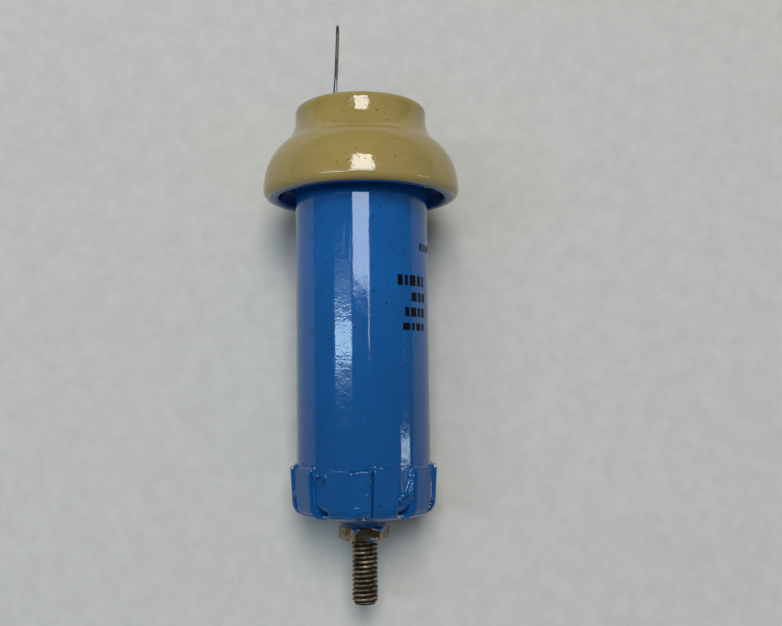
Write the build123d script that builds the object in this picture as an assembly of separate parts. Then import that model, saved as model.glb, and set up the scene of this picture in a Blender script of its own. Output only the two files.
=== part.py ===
"""High-voltage ceramic pot capacitor on a threaded stud, in millimetres.

The part stands on its mounting face: +Z runs up the ceramic tube to the open mouth, the stud
points down, and the origin is the middle of the mounting face, on the stud's axis. The wide
side of the terminal strap faces along X, on the -X side of the bore.
"""

import math
import os

from build123d import *

# Base cap: a stamped sheet star, pressed down in the middle and bent up into fingers
sheet = 0.50  # thickness of the stamping
boss_drop = 1.10  # how far the middle is pressed below the rest of the disc
boss_radius = 3.90  # flat mounting face
boss_wall_run = 0.80  # how far the boss wall spreads outwards on its way up
boss_wall_lap = 0.20  # how much smaller the boss is inside than outside
disc_edge = 0.25  # the disc's edge between two fingers, past the start of their bend
bend_radius = 1.60  # inside the bend
finger_count = 10
finger_width = 3.50
finger_tip_z = 8.30
finger_lean = 3.4  # degrees outwards
finger_root_gap = 0.10  # room for solder just above the bend
finger_turn = -71.4  # degrees, place of one finger about the axis

# Ceramic pot: a tube with a floor, and a rounded collar near the mouth
tube_radius = 10.20
bore_radius = 6.40
floor_thickness = 3.70
foot_round = 2.20  # outer corner of the floor
floor_round = 1.00  # inner corner of the bore
underside_gap = 0.20  # solder between the disc and the pot
collar_overhang = 5.10  # widest place of the collar past the tube
collar_drop = 12.60  # from the top face down to the widest place
shoulder_round = 8.55  # bulge above the widest place
waist_round = 5.50  # hollow between the bulge and the neck
lip_round = 1.75  # underneath the widest place
lip_edge_round = 0.40  # inner edge of the lip
lip_lap = 30.0  # degrees that the lacquer comes round the lip from its lowest point
groove_depth = 2.45  # from the lip's lowest point up into the groove
pot_height = 62.75  # underside to top face
rim_round = 0.93
mouth_round = 0.50

# Coats on the ceramic
film = 0.05  # silver electrode
lacquer = 0.15  # over the electrode
inner_film_drop = 7.0  # from the top face down to the end of the inner electrode
cap_coat = 0.12  # lacquer over the base cap

# Solder round the base cap
web_stand = 0.15  # the solder between two fingers stands out past their inner faces
fillet_rise = 0.90  # above the finger tips

# Mounting stud, an M4 screw whose head sits inside the boss
stud_radius = 2.00
stud_reach = 12.60  # below the mounting face
stud_chamfer = 0.35
thread_root_radius = 1.57
thread_root_height = 0.60  # one thread root is cut where the free length starts, inside the nut
free_length_gap = 0.10  # from the nut's lower face to the start of the free length
head_radius = 3.40
head_height = 0.95
stud_hole_gap = 0.05  # round the stud in the cap

# Washer and nut
washer_radius = 3.80
washer_thickness = 0.80
washer_chamfer = 0.20
washer_gap = 0.10  # round the stud
nut_across_flats = 7.00
nut_height = 2.00
nut_gap = 0.05  # round the stud, where the nut's thread really is
nut_turn = 9.3  # degrees
nut_chamfer_angle = 30.0

# Terminal strap, soldered low on the bore wall and leaning towards the axis
strap_width = 4.00
strap_thickness = 0.30
strap_wall_gap = 0.02  # from the strap's edges to the inner electrode
strap_foot_depth = 21.0  # from the rim down to the strap's lower end
strap_foot_length = 10.0
strap_rim_x = -4.10
strap_tip_x = -3.50
strap_rise = 13.75  # above the rim
strap_tip_round = 1.80  # corners of the tip
strap_bend_round = 8.0
strap_coat = 0.12
strap_coat_rise = 5.4  # above the rim
strap_coat_depth = 7.0  # below the rim
pad_margin = 0.60  # solder past the strap's edges
pad_cover = 0.15  # solder in front of the strap's foot

# Rating marks, ink bars on the lacquer
mark_thickness = 0.05
mark_rows = 5
mark_row_pitch = 3.2
mark_height = 1.5
mark_top_drop = 9.0  # from the collar's widest place to the highest mark
mark_turn = -32.0  # degrees, middle of the marks about the axis
mark_length = 8.0

# Heights and radii that follow from the sizes above
disc_top = boss_drop + sheet
pot_bottom = disc_top + underside_gap + film
bore_floor = pot_bottom + floor_thickness
pot_top = pot_bottom + pot_height
coat = film + lacquer
film_radius = tube_radius + film
coat_radius = tube_radius + coat
bore_film_radius = bore_radius - film
wall_middle = (bore_radius + tube_radius) / 2
floor_middle = pot_bottom + floor_thickness / 2
collar_z = pot_top - collar_drop
collar_radius = tube_radius + collar_overhang
lip_centre_radius = collar_radius - lip_round
lip_bottom = collar_z - lip_round
groove_outer_radius = lip_centre_radius - lip_edge_round
groove_round = (groove_outer_radius - tube_radius) / 2
groove_centre_radius = tube_radius + groove_round
groove_centre_z = lip_bottom + groove_depth - groove_round
groove_clear_z = collar_z + groove_depth  # above the groove, inside the collar's solid ceramic
lap_radius = lip_centre_radius + (lip_round + coat) * math.sin(math.radians(lip_lap))
bend_centre_z = disc_top + bend_radius
lean = math.radians(finger_lean)
bend_centre_radius = film_radius + finger_root_gap - bend_radius * math.cos(lean)
disc_radius = bend_centre_radius + disc_edge
solder_top = finger_tip_z + fillet_rise
far = 2 * (pot_top + strap_rise)  # larger than the whole part


def turned(edges):
    """Solid of revolution about Z from edges drawn with radius across and height up."""
    return revolve(Plane.XZ * make_face(edges), axis=Axis.Z)


def ring(inner, outer, low, high):
    """Plain ring, or a disc where the inner radius is nothing."""
    solid = Pos(0, 0, low) * Cylinder(outer, high - low, align=(Align.CENTER, Align.CENTER, Align.MIN))
    if inner > 0:
        solid -= Pos(0, 0, low) * Cylinder(inner, high - low, align=(Align.CENTER, Align.CENTER, Align.MIN))
    return solid


def pot(grow=0.0):
    """The ceramic pot, or the same shape with every face moved out by grow."""
    reach_r = tube_radius + waist_round - (collar_radius - shoulder_round)
    radii = shoulder_round + waist_round
    waist_z = collar_z + math.sqrt(radii**2 - reach_r**2)
    rise = math.degrees(math.acos(reach_r / radii))
    outer = tube_radius + grow
    inner = bore_radius - grow
    foot_z = pot_bottom + foot_round
    lip_edge_z = lip_bottom + lip_edge_round
    edges = [
        Line((0, pot_bottom - grow), (tube_radius - foot_round, pot_bottom - grow)),
        CenterArc((tube_radius - foot_round, foot_z), foot_round + grow, 270, 90),
        Line((outer, foot_z), (outer, groove_centre_z)),
        CenterArc((groove_centre_radius, groove_centre_z), groove_round - grow, 0, 180),
        Line((groove_outer_radius - grow, groove_centre_z), (groove_outer_radius - grow, lip_edge_z)),
        CenterArc((lip_centre_radius, lip_edge_z), lip_edge_round + grow, 180, 90),
        CenterArc((lip_centre_radius, collar_z), lip_round + grow, 270, 90),
        CenterArc((collar_radius - shoulder_round, collar_z), shoulder_round + grow, 0, rise),
        CenterArc((tube_radius + waist_round, waist_z), waist_round - grow, 180, rise),
        Line((outer, waist_z), (outer, pot_top - rim_round)),
        CenterArc((tube_radius - rim_round, pot_top - rim_round), rim_round + grow, 0, 90),
        Line((tube_radius - rim_round, pot_top + grow), (bore_radius + mouth_round, pot_top + grow)),
        CenterArc((bore_radius + mouth_round, pot_top - mouth_round), mouth_round + grow, 90, 90),
        Line((inner, pot_top - mouth_round), (inner, bore_floor + floor_round)),
        CenterArc((bore_radius - floor_round, bore_floor + floor_round), floor_round - grow, 270, 90),
        Line((bore_radius - floor_round, bore_floor + grow), (0, bore_floor + grow)),
        Line((0, bore_floor + grow), (0, pot_bottom - grow)),
    ]
    return turned(edges)


def bore_space():
    """Everything on the bore's side of the middle of the wall and of the floor."""
    return ring(0, wall_middle, floor_middle, far)


def outer_electrode():
    """Silver under the floor and up the tube, as far as the top of the groove."""
    below = ring(0, groove_centre_radius, -far, groove_clear_z)
    return (pot(film) - pot()) & (below - bore_space())


def inner_electrode():
    """Silver on the bore wall and floor."""
    below = ring(0, wall_middle, floor_middle, pot_top - inner_film_drop)
    return (pot(film) - pot()) & below


def outer_lacquer():
    """Lacquer on the tube above the base cap, and in the groove as far as the lip."""
    tube = ring(wall_middle, lip_centre_radius, solder_top, groove_clear_z)
    lip = ring(lip_centre_radius, lap_radius, solder_top, collar_z)
    return ((pot(coat) - pot()) & (tube + lip)) - outer_electrode()


def rim_glaze():
    """Bare glaze from the lip, over the collar and the neck, to the edge of the top face."""
    lower = ring(lap_radius, far, -far, groove_clear_z)
    upper = ring(tube_radius - rim_round, far, groove_clear_z, far)
    return (pot(coat) - pot()) & (lower + upper)


def bore_lacquer():
    """Lacquer in the bore and on the top face, left open where the strap is soldered."""
    place = ring(0, tube_radius - rim_round, floor_middle, far)
    coat_shell = ((pot(coat) - pot()) & place) - inner_electrode()
    return coat_shell - pad_block() - terminal_strap()


def finger(grow):
    """One finger of the base cap along +X, its outside grown for the lacquer."""
    reach = bend_radius + sheet + grow
    outward = Vector(math.sin(lean), math.cos(lean))
    inner_start = Vector(bend_centre_radius, bend_centre_z) + bend_radius * Vector(outward.Y, -outward.X)
    outer_start = Vector(bend_centre_radius, bend_centre_z) + reach * Vector(outward.Y, -outward.X)
    tip_z = finger_tip_z + grow
    inner_tip = inner_start + outward * ((tip_z - inner_start.Y) / outward.Y)
    outer_tip = outer_start + outward * ((tip_z - outer_start.Y) / outward.Y)
    root_radius = boss_radius + boss_wall_run + sheet
    edges = [
        Line((root_radius, disc_top), (bend_centre_radius, disc_top)),
        CenterArc((bend_centre_radius, bend_centre_z), bend_radius, 270, 90 - finger_lean),
        Line(inner_start, inner_tip),
        Line(inner_tip, outer_tip),
        Line(outer_tip, outer_start),
        CenterArc((bend_centre_radius, bend_centre_z), reach, 270, 90 - finger_lean),
        Line((bend_centre_radius, boss_drop - grow), (root_radius, boss_drop - grow)),
        Line((root_radius, boss_drop - grow), (root_radius, disc_top)),
    ]
    half = finger_width / 2 + grow
    return extrude(Plane.XZ * make_face(edges), amount=half, both=True)


def cap_disc(grow):
    """The cap's disc with its pressed boss, its underside and edge grown for the lacquer."""
    hole = stud_radius + stud_hole_gap
    foot = boss_radius
    top = boss_radius + boss_wall_run
    outline = [
        (hole, 0),
        (foot, 0),
        (top, boss_drop),
        (top, boss_drop - grow),
        (disc_radius + grow, boss_drop - grow),
        (disc_radius + grow, disc_top),
        (top - boss_wall_lap, disc_top),
        (foot - boss_wall_lap, sheet),
        (hole, sheet),
    ]
    if grow == 0:
        outline.remove((top, boss_drop))
    return turned(Polyline(*outline, close=True))


def base_spider(grow=0.0):
    """The stamped base cap: a disc with fingers that stand up round the tube."""
    cap = cap_disc(grow)
    for turn in finger_turns():
        cap += Rot(0, 0, turn) * finger(grow)
    return cap


def finger_turns():
    """Angles of the fingers about Z."""
    return [finger_turn + index * 360 / finger_count for index in range(finger_count)]


def solder_blank(grow):
    """What the solder between the cap and the pot fills, with the cap and the pot still in it."""
    web_root = film_radius + finger_root_gap + web_stand + grow
    web_tip = web_root + (finger_tip_z - bend_centre_z) * math.tan(lean)
    outline = [
        (0, sheet),
        (boss_radius - boss_wall_lap, sheet),
        (boss_radius + boss_wall_run - boss_wall_lap, disc_top),
        (disc_radius + grow, disc_top),
        (web_root, bend_centre_z),
        (web_tip, finger_tip_z),
        (film_radius + grow, solder_top),
        (wall_middle, solder_top),
        (wall_middle, floor_middle),
        (0, floor_middle),
    ]
    return turned(Polyline(*outline, close=True))


def base_solder():
    """Solder round the screw head, under the pot, and between the tube and the fingers."""
    return solder_blank(0) - pot(film) - base_spider() - mounting_stud()


def base_lacquer():
    """Lacquer over the outside of the cap and over the solder between its fingers."""
    clear = ring(0, boss_radius + boss_wall_run, -far, disc_top)
    blank = base_spider(cap_coat) + solder_blank(cap_coat)
    inside = base_spider() + base_solder() + mounting_stud()
    return blank - inside - pot(film) - clear


def mounting_stud():
    """The screw that the part is fastened by, its thread drawn as a plain cylinder."""
    head_z = sheet + head_height
    free_top = -washer_thickness - nut_height - free_length_gap
    outline = [
        (0, -stud_reach),
        (stud_radius - stud_chamfer, -stud_reach),
        (stud_radius, -stud_reach + stud_chamfer),
        (stud_radius, free_top),
        (thread_root_radius, free_top),
        (thread_root_radius, free_top + thread_root_height),
        (stud_radius, free_top + thread_root_height),
        (stud_radius, sheet),
        (head_radius, sheet),
        (head_radius, head_z),
        (0, head_z),
    ]
    return turned(Polyline(*outline, close=True))


def lock_washer():
    """The washer between the cap and the nut, its lower edge chamfered."""
    bore = stud_radius + washer_gap
    outline = [
        (bore, -washer_thickness),
        (washer_radius - washer_chamfer, -washer_thickness),
        (washer_radius, -washer_thickness + washer_chamfer),
        (washer_radius, 0),
        (bore, 0),
    ]
    return turned(Polyline(*outline, close=True))


def clamp_nut():
    """Hexagon nut with both ends of its corners turned off."""
    low = -washer_thickness - nut_height
    blank = extrude(RegularPolygon(nut_across_flats / 2, 6, major_radius=False), nut_height)
    blank = Pos(0, 0, low) * Rot(0, 0, nut_turn) * blank
    corner = nut_across_flats / 2 / math.cos(math.pi / 6)
    drop = (corner - nut_across_flats / 2) * math.tan(math.radians(nut_chamfer_angle))
    outline = [
        (stud_radius + nut_gap, low),
        (nut_across_flats / 2, low),
        (corner, low + drop),
        (corner, low + nut_height - drop),
        (nut_across_flats / 2, low + nut_height),
        (stud_radius + nut_gap, low + nut_height),
    ]
    return blank & turned(Polyline(*outline, close=True))


def strap_face_x():
    """X of the foot's wall side, where the strap's two edges all but touch the electrode."""
    return -math.sqrt((bore_film_radius - strap_wall_gap) ** 2 - (strap_width / 2) ** 2)


def strip(grow):
    """The strap's bent strip, with its faces and edges grown for the lacquer."""
    rim_z = pot_top + coat
    foot_x = strap_face_x() + strap_thickness / 2
    low = rim_z - strap_foot_depth
    stations = [
        (foot_x, low),
        (foot_x, low + strap_foot_length),
        (strap_rim_x, rim_z),
        (strap_tip_x, rim_z + strap_rise),
    ]
    half = strap_thickness / 2 + grow
    wall_side = FilletPolyline(*[(x - half, z) for x, z in stations], radius=strap_bend_round)
    axis_side = FilletPolyline(*[(x + half, z) for x, z in stations], radius=strap_bend_round)
    ends = [Line(wall_side @ 0, axis_side @ 0), Line(wall_side @ 1, axis_side @ 1)]
    face = make_face([wall_side, axis_side] + ends)
    return extrude(Plane.XZ * face, amount=strap_width / 2 + grow, both=True)


def terminal_strap():
    """The flat metal strap that leads out of the bore, the corners of its tip rounded off."""
    blank = strip(0)
    tip_corners = blank.faces().sort_by(Axis.Z)[-1].edges().sort_by(SortBy.LENGTH)[:2]
    return fillet(tip_corners, radius=strap_tip_round)


def pad_block():
    """Block that the solder on the strap's foot fills, from the bore wall inwards."""
    front = strap_face_x() + strap_thickness + pad_cover
    low = pot_top + coat - strap_foot_depth - pad_margin
    depth = front + bore_radius
    width = strap_width + 2 * pad_margin
    corner = (Align.MIN, Align.CENTER, Align.MIN)
    return Pos(-bore_radius, 0, low) * Box(depth, width, strap_foot_length, align=corner)


def strap_solder():
    """Solder that joins the strap's foot to the inner electrode."""
    bore = ring(0, bore_film_radius, floor_middle, far)
    return (pad_block() & bore) - terminal_strap()


def strap_lacquer():
    """Lacquer that has run up the strap from the mouth of the bore."""
    rim_z = pot_top + coat
    place = ring(0, far, rim_z - strap_coat_depth, rim_z + strap_coat_rise)
    return (strip(strap_coat) & place) - terminal_strap()


def rating_marks():
    """Rows of short ink bars on the tube, in place of printed type."""
    shell = ring(coat_radius, coat_radius + mark_thickness, 0, collar_z)
    top = collar_z - mark_top_drop
    marks = []
    for row in range(mark_rows):
        bar = Box(collar_radius, mark_length, mark_height, align=(Align.MIN, Align.CENTER, Align.MAX))
        bar = Rot(0, 0, mark_turn) * Pos(0, 0, top - row * mark_row_pitch) * bar
        marks.append(shell & bar)
    return Compound(children=[solid for mark in marks for solid in mark.solids()])


NODES = {
    "ceramic_pot": pot,
    "rim_glaze": rim_glaze,
    "outer_electrode": outer_electrode,
    "inner_electrode": inner_electrode,
    "outer_lacquer": outer_lacquer,
    "bore_lacquer": bore_lacquer,
    "base_spider": base_spider,
    "base_solder": base_solder,
    "base_lacquer": base_lacquer,
    "mounting_stud": mounting_stud,
    "lock_washer": lock_washer,
    "clamp_nut": clamp_nut,
    "terminal_strap": terminal_strap,
    "strap_solder": strap_solder,
    "strap_lacquer": strap_lacquer,
    "rating_marks": rating_marks,
}

os.makedirs("parts", exist_ok=True)
for name, make in NODES.items():
    export_step(make(), f"parts/{name}.step")
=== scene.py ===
"""Looks of a high-voltage ceramic pot capacitor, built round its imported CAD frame.

Shapes are worked out in millimetres and become metres when their mesh is made. The part stands
with its stud down and its open mouth up. It is seen from -Y, and a pale board stands behind it.
Angles about Z are degrees from +X; those that a comment calls "from the front" count from -Y,
to the right.
"""

import logging
from dataclasses import dataclass
from enum import Enum
from typing import Any, Optional, Sequence

import bmesh
import bpy
import numpy as np
from mathutils import Matrix, Vector


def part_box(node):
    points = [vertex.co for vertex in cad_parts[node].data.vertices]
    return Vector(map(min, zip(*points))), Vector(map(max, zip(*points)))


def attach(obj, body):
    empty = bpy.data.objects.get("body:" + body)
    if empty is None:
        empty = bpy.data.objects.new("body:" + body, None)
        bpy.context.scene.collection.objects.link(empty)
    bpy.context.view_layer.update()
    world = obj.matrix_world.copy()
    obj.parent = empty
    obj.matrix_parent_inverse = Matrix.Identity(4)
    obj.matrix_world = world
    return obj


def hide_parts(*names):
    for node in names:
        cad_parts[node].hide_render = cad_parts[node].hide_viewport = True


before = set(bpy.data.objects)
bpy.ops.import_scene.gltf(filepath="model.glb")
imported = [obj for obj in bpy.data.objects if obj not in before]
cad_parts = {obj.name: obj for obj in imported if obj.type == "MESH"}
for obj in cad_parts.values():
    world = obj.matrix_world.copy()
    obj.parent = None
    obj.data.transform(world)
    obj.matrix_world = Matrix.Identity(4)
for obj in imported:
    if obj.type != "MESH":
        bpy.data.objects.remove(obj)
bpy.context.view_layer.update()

LOG = logging.getLogger("capacitor")
MM = 0.001  # metres in a millimetre
WELD = 0.0002 * MM  # points closer than this are one point
FRONT = -90.0  # degrees about Z of the side that is seen

Colour = tuple[float, float, float]
Array = np.ndarray


# ---------------------------------------------------------------- places read off the frame


def low(node: str) -> Array:
    """Lowest corner of a CAD node's box, in millimetres."""
    return np.array(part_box(node)[0]) / MM


def high(node: str) -> Array:
    """Highest corner of a CAD node's box, in millimetres."""
    return np.array(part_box(node)[1]) / MM


# ---------------------------------------------------------------- curves and surfaces


def arc(centre: Sequence[float], radius: float, start: float, sweep: float) -> Array:
    """Points on a circle: centre + radius * (cos a, sin a), where a runs evenly through sweep.

    Args:
        centre: the circle's middle, across and up.
        radius: its radius.
        start: first angle in degrees.
        sweep: how far the angle runs, negative for clockwise.

    Returns:
        An (n, 2) array of points.
    """
    angle = np.radians(start + np.linspace(0.0, sweep, 25))
    return np.stack([centre[0] + radius * np.cos(angle), centre[1] + radius * np.sin(angle)], -1)


def run(start: Sequence[float], end: Sequence[float]) -> Array:
    """A straight stretch between two points."""
    return np.array([start, end], float)


def spread(points: Array, count: int, closed: bool = False) -> Array:
    """The same path in evenly spaced points, each coordinate read off against the length so far.

    Args:
        points: an (n, k) array along the path.
        count: how many points the result has.
        closed: whether the path runs back to its first point.

    Returns:
        A (count, k) array.
    """
    if closed:
        points = np.vstack([points, points[:1]])
    step = np.linalg.norm(np.diff(points, axis=0), axis=1)
    length = np.concatenate([[0.0], np.cumsum(step)])
    wanted = np.linspace(0.0, length[-1], count, endpoint=not closed)
    return np.stack([np.interp(wanted, length, column) for column in points.T], -1)


def around(radius: Array, angle: Array, height: Array) -> Array:
    """Points from a radius, an angle in radians and a height: (r cos a, r sin a, z)."""
    radius, angle, height = np.broadcast_arrays(radius, angle, height)
    return np.stack([radius * np.cos(angle), radius * np.sin(angle), height], -1)


def circle(count: int) -> Array:
    """Angles in radians, evenly round a turn."""
    return np.linspace(0.0, 2.0 * np.pi, count, endpoint=False)


def turned(path: Array, count: int) -> Array:
    """A path of (r, z) points turned about Z, as a lattice of path points by angles."""
    return around(path[:, :1], circle(count)[None, :], path[:, 1:])


def bar_section(width: float, thickness: float, corner: float, count: int) -> Array:
    """A rounded rectangle about its middle: four quarter circles joined by straight runs.

    Args:
        width: size across.
        thickness: size up.
        corner: radius of the corners.
        count: how many points the result has.

    Returns:
        A (count, 2) array, counter-clockwise.
    """
    x, y = width / 2.0 - corner, thickness / 2.0 - corner
    quarters = [arc((x, -y), corner, -90, 90), arc((x, y), corner, 0, 90),
                arc((-x, y), corner, 90, 90), arc((-x, -y), corner, 180, 90)]
    return spread(np.vstack(quarters), count, closed=True)


def ripple(points: Array, size: float, seed: int, waves: int = 24) -> Array:
    """Smooth random relief, mostly between -1 and 1: a sum of cosines of (direction . point + phase).

    Args:
        points: an (..., 3) array in millimetres.
        size: usual distance from one crest to the next.
        seed: which relief it is.
        waves: how many cosines are added.

    Returns:
        One number for each point.
    """
    random = np.random.default_rng(seed)
    direction = random.normal(size=(waves, 3))
    direction /= np.linalg.norm(direction, axis=1, keepdims=True)
    direction *= 2.0 * np.pi / size * random.uniform(0.6, 1.5, (waves, 1))
    phase = random.uniform(0.0, 2.0 * np.pi, waves)
    return np.cos(points @ direction.T + phase).sum(-1) / np.sqrt(waves)


def dents(points: Array, size: float, seed: int) -> Array:
    """How deep the dents of a surface are, from 0 to 2: the ripple plus one, cut off at both."""
    return np.clip(1.0 + ripple(points, size, seed), 0.0, 2.0)


def step_up(value: Array, start: float, end: float) -> Array:
    """Smooth step: 0 before start, 1 after end, 3t^2 - 2t^3 between them."""
    share = np.clip((value - start) / (end - start), 0.0, 1.0)
    return share * share * (3.0 - 2.0 * share)


def soft_min(first: Array, second: Array, round_off: float) -> Array:
    """The smaller of two values, with the corner between them rounded over round_off."""
    gap = np.clip(0.5 + 0.5 * (second - first) / round_off, 0.0, 1.0)
    return second + (first - second) * gap - round_off * gap * (1.0 - gap)


def hump(value: Array, middle: float, width: float) -> Array:
    """A bell: exp(-((value - middle) / width)^2)."""
    return np.exp(-(((value - middle) / width) ** 2))


@dataclass
class Skin:
    """A closed surface before Blender has it: points in millimetres and four-cornered faces."""

    points: Array
    faces: Array

    @classmethod
    def over(cls, lattice: Array, closed_rows: bool = True, closed_columns: bool = True) -> "Skin":
        """Joins each point of a lattice to the next in its row and in its column.

        Face (i, j) has the corners (i, j), (i, j + 1), (i + 1, j + 1) and (i + 1, j), counted
        round where the lattice closes on itself.

        Args:
            lattice: a (rows, columns, 3) array.
            closed_rows: whether the last row is joined to the first.
            closed_columns: whether the last column is joined to the first.

        Returns:
            The skin, with its faces outwards.
        """
        index = np.arange(lattice.shape[0] * lattice.shape[1]).reshape(lattice.shape[:2])
        if closed_rows:
            index = np.vstack([index, index[:1]])
        if closed_columns:
            index = np.hstack([index, index[:, :1]])
        corners = [index[:-1, :-1], index[:-1, 1:], index[1:, 1:], index[1:, :-1]]
        faces = np.stack(corners, -1).reshape(-1, 4)
        return cls(lattice.reshape(-1, 3), faces).outwards()

    @classmethod
    def bar(cls, lattice: Array) -> "Skin":
        """A lattice of sections along a path, closed at both ends by rows drawn in to a point."""
        ends = [np.repeat(lattice[k].mean(0)[None, None], lattice.shape[1], 1) for k in (0, -1)]
        return cls.over(np.concatenate([ends[0], lattice, ends[1]]), closed_rows=False)

    @classmethod
    def joined(cls, skins: Sequence["Skin"]) -> "Skin":
        """Several skins as one."""
        starts = np.cumsum([0] + [len(skin.points) for skin in skins[:-1]])
        faces = [skin.faces + start for skin, start in zip(skins, starts)]
        return cls(np.vstack([skin.points for skin in skins]), np.vstack(faces))

    def outwards(self) -> "Skin":
        """The same skin with its faces outwards, told by the sign of a . (b x c) over its faces."""
        a, b, c, d = (self.points[self.faces[:, corner]] for corner in range(4))
        volume = np.einsum("ij,ij->", a, np.cross(b, c) + np.cross(c, d))
        if volume < 0.0:
            self.faces = self.faces[:, ::-1]
        return self


def make_piece(name: str, skin: Skin, finish: "Finish", body: str, stands_for: Sequence[str] = (),
               sharp: float = 40.0, paint: Optional[Array] = None) -> bpy.types.Object:
    """Makes one visible piece of the part.

    Args:
        name: the piece's name.
        skin: its surface in millimetres.
        finish: what it is made of.
        body: the CAD body that it moves with.
        stands_for: CAD nodes that it is shown in place of.
        sharp: edges that turn by more degrees than this are drawn sharp.
        paint: one number for each point, kept as the attribute "paint".

    Returns:
        The new object.
    """
    mesh = bpy.data.meshes.new(name)
    mesh.from_pydata((skin.points * MM).tolist(), [], skin.faces.tolist())
    if paint is not None:
        layer = mesh.attributes.new("paint", "FLOAT", "POINT")
        layer.data.foreach_set("value", paint.astype(np.float32).ravel())
    shell = bmesh.new()
    shell.from_mesh(mesh)
    bmesh.ops.remove_doubles(shell, verts=shell.verts, dist=WELD)
    shell.to_mesh(mesh)
    shell.free()
    mesh.polygons.foreach_set("use_smooth", np.ones(len(mesh.polygons), bool))
    mesh.set_sharp_from_angle(angle=np.radians(sharp))
    mesh.materials.append(finish.material())
    piece = bpy.data.objects.new(name, mesh)
    bpy.context.collection.objects.link(piece)
    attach(piece, body)
    if stands_for:
        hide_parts(*stands_for)
    LOG.info("%s: %d points on %s", name, len(mesh.vertices), body)
    return piece


# ---------------------------------------------------------------- finishes


class Bench:
    """Lays out one material's nodes and joins them."""

    def __init__(self, name: str) -> None:
        """Starts a material with one Principled shader.

        Args:
            name: the material's name.
        """
        self.made = bpy.data.materials.new(name)
        self.made.use_nodes = True
        self.nodes = self.made.node_tree.nodes
        self.shader = self.nodes["Principled BSDF"]
        self.place = self.nodes.new("ShaderNodeTexCoord").outputs["Object"]

    def link(self, source: Any, target: Any) -> None:
        """Joins an output to an input, or sets the input when source is a plain value."""
        if isinstance(source, bpy.types.NodeSocket):
            self.made.node_tree.links.new(source, target)
        else:
            target.default_value = source

    def stretched(self, scale: Sequence[float], turn: Sequence[float] = (0.0, 0.0, 0.0)) -> Any:
        """Object coordinates turned and scaled, for marks that run one way.

        Args:
            scale: factors along X, Y and Z.
            turn: turns about X, Y and Z in degrees.

        Returns:
            The vector output.
        """
        node = self.nodes.new("ShaderNodeMapping")
        node.inputs["Scale"].default_value = scale
        node.inputs["Rotation"].default_value = np.radians(turn)
        self.link(self.place, node.inputs["Vector"])
        return node.outputs["Vector"]

    def noise(self, size: float, detail: float = 2.0, roughness: float = 0.5, warp: float = 0.0,
              place: Any = None) -> Any:
        """Cloudy noise.

        Args:
            size: size of its clouds in millimetres.
            detail: how many finer layers it has.
            roughness: how strong the finer layers are.
            warp: how far it is bent.
            place: the vector that it reads, Object coordinates if none.

        Returns:
            The factor output.
        """
        node = self.nodes.new("ShaderNodeTexNoise")
        settings = {"Scale": 1.0 / (size * MM), "Detail": detail, "Roughness": roughness, "Distortion": warp}
        for socket, value in settings.items():
            node.inputs[socket].default_value = value
        self.link(place or self.place, node.inputs["Vector"])
        return node.outputs["Fac"]

    def attribute(self, name: str) -> Any:
        """A number kept on the mesh."""
        node = self.nodes.new("ShaderNodeAttribute")
        node.attribute_name = name
        return node.outputs["Fac"]

    def fade(self, factor: Any, start: float, end: float, low_value: float = 0.0,
             high_value: float = 1.0) -> Any:
        """Smooth step of a number between two limits, from low_value to high_value."""
        node = self.nodes.new("ShaderNodeMapRange")
        node.interpolation_type = "SMOOTHSTEP"
        limits = {"From Min": start, "From Max": end, "To Min": low_value, "To Max": high_value}
        for socket, value in limits.items():
            node.inputs[socket].default_value = value
        self.link(factor, node.inputs["Value"])
        return node.outputs["Result"]

    def maths(self, operation: str, first: Any, second: Any) -> Any:
        """One sum on two numbers."""
        node = self.nodes.new("ShaderNodeMath")
        node.operation = operation
        self.link(first, node.inputs[0])
        self.link(second, node.inputs[1])
        return node.outputs["Value"]

    def times(self, first: Any, second: Any) -> Any:
        """The product of two numbers."""
        return self.maths("MULTIPLY", first, second)

    def mix(self, factor: Any, first: Any, second: Any) -> Any:
        """One colour over another, by a factor."""
        node = self.nodes.new("ShaderNodeMix")
        node.data_type = "RGBA"
        self.link(factor, node.inputs["Factor"])
        for colour, socket in ((first, node.inputs[6]), (second, node.inputs[7])):
            self.link((*colour, 1.0) if isinstance(colour, tuple) else colour, socket)
        return node.outputs[2]

    def height(self, axis: str = "Z") -> Any:
        """One Object coordinate in metres, the height unless another axis is named."""
        node = self.nodes.new("ShaderNodeSeparateXYZ")
        self.link(self.place, node.inputs["Vector"])
        return node.outputs[axis]

    def bump(self, relief: Any, depth: float, under: Any = None) -> Any:
        """Relief in the shading.

        Args:
            relief: its height, from 0 to 1.
            depth: millimetres that 1 stands for.
            under: the normal of a coarser relief that it lies on.

        Returns:
            The normal output.
        """
        node = self.nodes.new("ShaderNodeBump")
        node.inputs["Distance"].default_value = depth * MM
        self.link(relief, node.inputs["Height"])
        if under is not None:
            self.link(under, node.inputs["Normal"])
        return node.outputs["Normal"]

    def done(self, colour: Any, roughness: Any, normal: Any, **constants: float) -> bpy.types.Material:
        """Joins the results to the shader.

        Args:
            colour: base colour output.
            roughness: roughness output.
            normal: normal output.
            **constants: shader sockets that are the same all over, with _ for a space.

        Returns:
            The material.
        """
        self.link(colour, self.shader.inputs["Base Color"])
        self.link(roughness, self.shader.inputs["Roughness"])
        self.link(normal, self.shader.inputs["Normal"])
        for socket, value in constants.items():
            self.shader.inputs[socket.replace("_", " ")].default_value = value
        return self.made


class Finish:
    """Something that a piece is made of. Its material is made once and then shared."""

    name = "finish"

    def material(self) -> bpy.types.Material:
        """The finish's material."""
        return bpy.data.materials.get(self.name) or self.make()

    def make(self) -> bpy.types.Material:
        """Makes the material."""
        raise NotImplementedError


def shade(colour: Colour, factor: float) -> Colour:
    """A colour made darker or lighter."""
    return tuple(channel * factor for channel in colour)


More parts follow.
